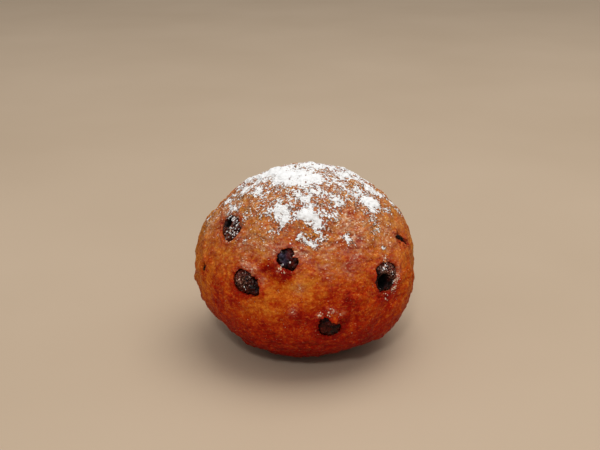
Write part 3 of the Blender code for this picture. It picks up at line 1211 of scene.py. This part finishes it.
def crust_material(powder, skin):
    made, tree, shader = new_material("fried crust")
    coords = object_coords(tree)
    blotch = noise_value(tree, coords, 130, 3.0, 0.6, 0.5)
    mottle = noise_value(tree, coords, 420, 4.0, 0.65)
    fleck = noise_value(tree, coords, 1600, 2.0, 0.6)
    toast = total(
        tree,
        attribute(tree, "toast"),
        spread(tree, blotch, 0.3, 0.7, -0.13, 0.13),
        spread(tree, mottle, 0.3, 0.7, -0.26, 0.26),
        spread(tree, fleck, 0.3, 0.7, -0.28, 0.16),
        # painted shade in folds and wrinkle valleys
        times(tree, attribute(tree, "fold"), 0.25),
        # stain and painted shade round the raisins
        times(tree, attribute(tree, "stain_and_shade"), 0.38),
    )
    fried = colour_ramp(tree, toast, -0.4, 1.2, CRUST_TONES)
    tone = mix_colour(tree, attribute(tree, "dull"), fried, DULLING, "MULTIPLY")
    gold_noise = noise_value(tree, flattened(tree, coords, 1.5), 1000, 2.0, 0.6)
    gold_level = spread(tree, toast, 0.35, 0.85, 0.42, 0.15)
    gold = times(tree, spread(tree, gold_noise, 0.54, 0.68), gold_level)
    flecked = mix_colour(tree, gold, tone, FRESH_GOLD)
    glaze_and_sheen = attribute(tree, "glaze_and_sheen")
    streaked = flattened(tree, coords, 2.0)
    ragged = spread(tree, noise_value(tree, streaked, 560, 5.0, 0.75), 0.46, 0.62, 0.09, 0.80)
    # pale film: thin glaze with painted sheen
    glaze_and_sheen_film = times(tree, ragged, glaze_and_sheen, clamp=True)
    glaze_and_sheened = mix_colour(tree, glaze_and_sheen_film, flecked, SHEEN_AND_GLAZE_TONE)
    # painted glints: pale specks, denser where there is more glaze and sheen
    speck = noise_value(tree, streaked, 1050, 2.0, 0.6)
    glint_level = spread(tree, glaze_and_sheen, 0, 0.6, 0.69, 0.57)
    glints = times(tree, math_node(tree, "SUBTRACT", speck, glint_level), 12.0, clamp=True)
    glint_colour = mix_colour(tree, spread(tree, glaze_and_sheen, 0.02, 0.25), CRUST_GLINT, GLINT_AND_THIN_SUGAR)
    glinted = mix_colour(tree, times(tree, glints, 0.75), glaze_and_sheened, glint_colour)
    dust = attribute(tree, "dust")
    powdered = use_group(tree, powder, Amount=dust)
    # painted shade: dark specks between the sugar grains
    shade_specks = spread(tree, noise_value(tree, coords, 1350, 2.0, 0.6), 0.53, 0.59)
    dark_share = times(tree, shade_specks, spread(tree, dust, 0.10, 0.55, 0.0, 0.85))
    shade_specked = mix_colour(tree, dark_share, glinted, SHADE_BESIDE_SUGAR)
    # painted shadow rim beside the sugar
    rim_share = times(tree, powdered["Shade"], spread(tree, dust, 0.10, 0.50, 0.25, 0.60))
    shaded = mix_colour(tree, rim_share, shade_specked, SHADE_BESIDE_SUGAR)
    mask = powdered["Mask"]
    # thin sugar takes the cream tone of the painted glints
    sugar = mix_colour(tree, spread(tree, dust, 0.20, 0.70), GLINT_AND_THIN_SUGAR, SUGAR_ON_CRUST)
    coloured = mix_colour(tree, mask, shaded, sugar)
    tree.links.new(coloured, shader.inputs["Base Color"])
    tree.links.new(spread(tree, mask, 0, 1, 0.5, 0.9), shader.inputs["Roughness"])
    oil = spread(tree, noise_value(tree, coords, 260, 3.0, 0.6), 0.46, 0.64, 0.0, 0.3)
    wet = total(tree, times(tree, oil, glaze_and_sheen), times(tree, glints, 0.1))
    dry = math_node(tree, "SUBTRACT", 1.0, mask)
    tree.links.new(times(tree, wet, dry, clamp=True), shader.inputs["Coat Weight"])
    shader.inputs["Coat Roughness"].default_value = 0.10
    shader.inputs["Specular IOR Level"].default_value = 0.03
    rough_patch = spread(tree, noise_value(tree, coords, 210, 2.0, 0.5), 0.38, 0.62, 0.35, 1.0)
    relief = times(tree, use_group(tree, skin, Scale=1.0)["Height"], rough_patch)
    bump(tree, shader, total(tree, relief, mask), 0.00026)
    return made


def raisin_material(powder, skin):
    made, tree, shader = new_material("raisin skin")
    coords = object_coords(tree)
    tone = noise_value(tree, coords, 500, 3.0, 0.6)
    grain = noise_value(tree, coords, 1800, 2.0, 0.6)
    skin_colour = mix_colour(tree, spread(tree, tone, 0.43, 0.70), RAISIN_BLACK, RAISIN_RED)
    # painted reflection: bluish sheen on the raisin
    sky_reflection = times(tree, spread(tree, tone, 0.35, 0.60), attribute(tree, "sky_reflection"), clamp=True)
    sky_reflected = mix_colour(tree, sky_reflection, skin_colour, BLUE_REFLECTION)
    bloom = attribute(tree, "bloom")
    patches = times(tree, spread(tree, grain, 0.46, 0.62, 0.0, 0.7), bloom, clamp=True)
    bloomed = mix_colour(tree, patches, sky_reflected, BROWN_BLOOM)
    # painted glints: pale specks on the bloom, and a few on the bare skin
    raisin_glints = times(tree, spread(tree, grain, 0.60, 0.67), total(tree, bloom, 0.03), clamp=True)
    raisin_glinted = mix_colour(tree, raisin_glints, bloomed, BLOOM_GLINT)
    powdered = use_group(tree, powder, Amount=attribute(tree, "dust"))
    dusted = mix_colour(tree, times(tree, powdered["Mask"], 0.9), raisin_glinted, SUGAR_ON_RAISIN)
    # painted shade: the hollows are painted blacker
    pit = attribute(tree, "pit")
    hollow_shaded = mix_colour(tree, pit, dusted, HOLLOW_SHADE)
    tree.links.new(hollow_shaded, shader.inputs["Base Color"])
    gloss = spread(tree, tone, 0.3, 0.7, 0.10, 0.24)
    tree.links.new(math_node(tree, "MAXIMUM", gloss, pit), shader.inputs["Roughness"])
    shader.inputs["Specular IOR Level"].default_value = 0.09
    bump(tree, shader, use_group(tree, skin, Scale=0.8)["Height"], 0.00020)
    return made


def sugar_material():
    made, tree, shader = new_material("powdered sugar")
    coords = object_coords(tree)
    tone = noise_value(tree, coords, 900, 3.0, 0.6)
    colour = mix_colour(tree, spread(tree, tone, 0.3, 0.7), *SUGAR_TONES)
    tree.links.new(colour, shader.inputs["Base Color"])
    shader.inputs["Roughness"].default_value = 0.9
    shader.inputs["Specular IOR Level"].default_value = 0.2
    grain = noise_value(tree, coords, 3600, 2.0, 0.6)
    bump(tree, shader, grain, 0.00010)
    return made


def crumb_material():
    made, tree, shader = new_material("pale crumbs")
    coords = object_coords(tree)
    tone = noise_value(tree, coords, 1500, 2.0, 0.6)
    colour = mix_colour(tree, spread(tree, tone, 0.35, 0.65), *CRUMB_AND_GLINT_TONES)
    tree.links.new(colour, shader.inputs["Base Color"])
    shader.inputs["Roughness"].default_value = 0.35
    shader.inputs["Coat Weight"].default_value = 0.5
    return made


def floor_material():
    made, tree, shader = new_material("pale floor")
    coords = object_coords(tree)
    tone = noise_value(tree, coords, 6, 3.0, 0.5)
    colour = mix_colour(tree, spread(tree, tone, 0.3, 0.7), *FLOOR_TONES)
    tree.links.new(colour, shader.inputs["Base Color"])
    shader.inputs["Roughness"].default_value = 0.7
    shader.inputs["Specular IOR Level"].default_value = 0.2
    return made


# ---------------------------------------------------------------- stage

FLOOR_REACH = 3                # from its middle to its edge
ROOM_COLOUR = (1.0, 0.985, 0.96, 1)
ROOM_STRENGTHS = (0.10, 0.62)  # at the horizon, and straight up


def build_floor():
    shape = bmesh.new()
    bmesh.ops.create_grid(shape, x_segments=1, y_segments=1, size=FLOOR_REACH)
    mesh = bpy.data.meshes.new("floor")
    shape.to_mesh(mesh)
    shape.free()
    mesh.materials.append(floor_material())
    floor = bpy.data.objects.new("floor", mesh)
    bpy.context.scene.collection.objects.link(floor)


def area_light(name, place, size, power, colour):
    data = bpy.data.lights.new(name, "AREA")
    data.size = size
    data.energy = power
    data.color = colour
    light = bpy.data.objects.new(name, data)
    light.location = place
    light.rotation_euler = (BALL_MIDDLE - Vector(place)).to_track_quat("-Z", "Y").to_euler()
    bpy.context.scene.collection.objects.link(light)


def build_light():
    """A soft room, darker near the horizon, with a wide light above and a small one in front."""
    world = bpy.data.worlds.new("soft room")
    world.use_nodes = True
    tree = world.node_tree
    background = tree.nodes["Background"]
    background.inputs["Color"].default_value = ROOM_COLOUR
    split = tree.nodes.new("ShaderNodeSeparateXYZ")
    tree.links.new(tree.nodes.new("ShaderNodeTexCoord").outputs["Generated"], split.inputs[0])
    strength = spread(tree, split.outputs["Z"], 0, 1, *ROOM_STRENGTHS)
    tree.links.new(strength, background.inputs["Strength"])
    bpy.context.scene.world = world
    area_light("ceiling", place=(0.20, 0.05, 1.0), size=0.8, power=6.2, colour=(1.0, 0.98, 0.95))
    area_light("window", place=(-0.08, -0.66, 0.64), size=0.10, power=1.7, colour=(0.97, 0.98, 1.0))


def build_camera():
    data = bpy.data.cameras.new("camera")
    data.lens = CAMERA_LENS
    data.sensor_width = CAMERA_SENSOR
    camera = bpy.data.objects.new("camera", data)
    camera.location = CAMERA_PLACE
    camera.rotation_euler = (math.radians(90 - CAMERA_PITCH), 0, 0)
    bpy.context.scene.collection.objects.link(camera)
    bpy.context.scene.camera = camera
    bpy.context.scene.view_settings.view_transform = "Standard"
    bpy.context.scene.view_settings.look = "None"


def build_oliebol():
    powder = powder_group()
    skin = skin_group()
    pits = aimed(PITS)
    raisin_look = raisin_material(powder, skin)
    skin_trees = {}
    skins = []
    for number, node in enumerate(RAISINS, 1):
        shape = raisin_shape(number, node, pits)
        skin_trees[node] = BVHTree.FromBMesh(shape)
        paint_raisin(shape, pits)
        skins.append(piece(f"raisin_skin_{number:02d}", shape, raisin_look, "raisin", node).data)
    raisins = all_raisins_tree()
    crust_look = crust_material(powder, skin)
    shape = crust_shape()
    crust_tree = BVHTree.FromBMesh(shape)
    paint_skin(shape, raisins)
    crust = piece("crust", shape, crust_look, "fried_crust", "dough")
    shape = lips_shape(crust_tree, skin_trees)
    paint_skin(shape, raisins)
    lips = piece("lips", shape, crust_look, "fried_crust")
    sugar = sugar_material()
    piece("sugar_drifts", drift_shape(crust.data), sugar, "powdered_sugar")
    piece("sugar_grains", grains_shape(crust.data, skins, pits), sugar, "powdered_sugar")
    piece("crumbs", crumbs_shape(crust.data, lips.data), crumb_material(), "fried_crust")


build_camera()
build_light()
build_floor()
build_oliebol()
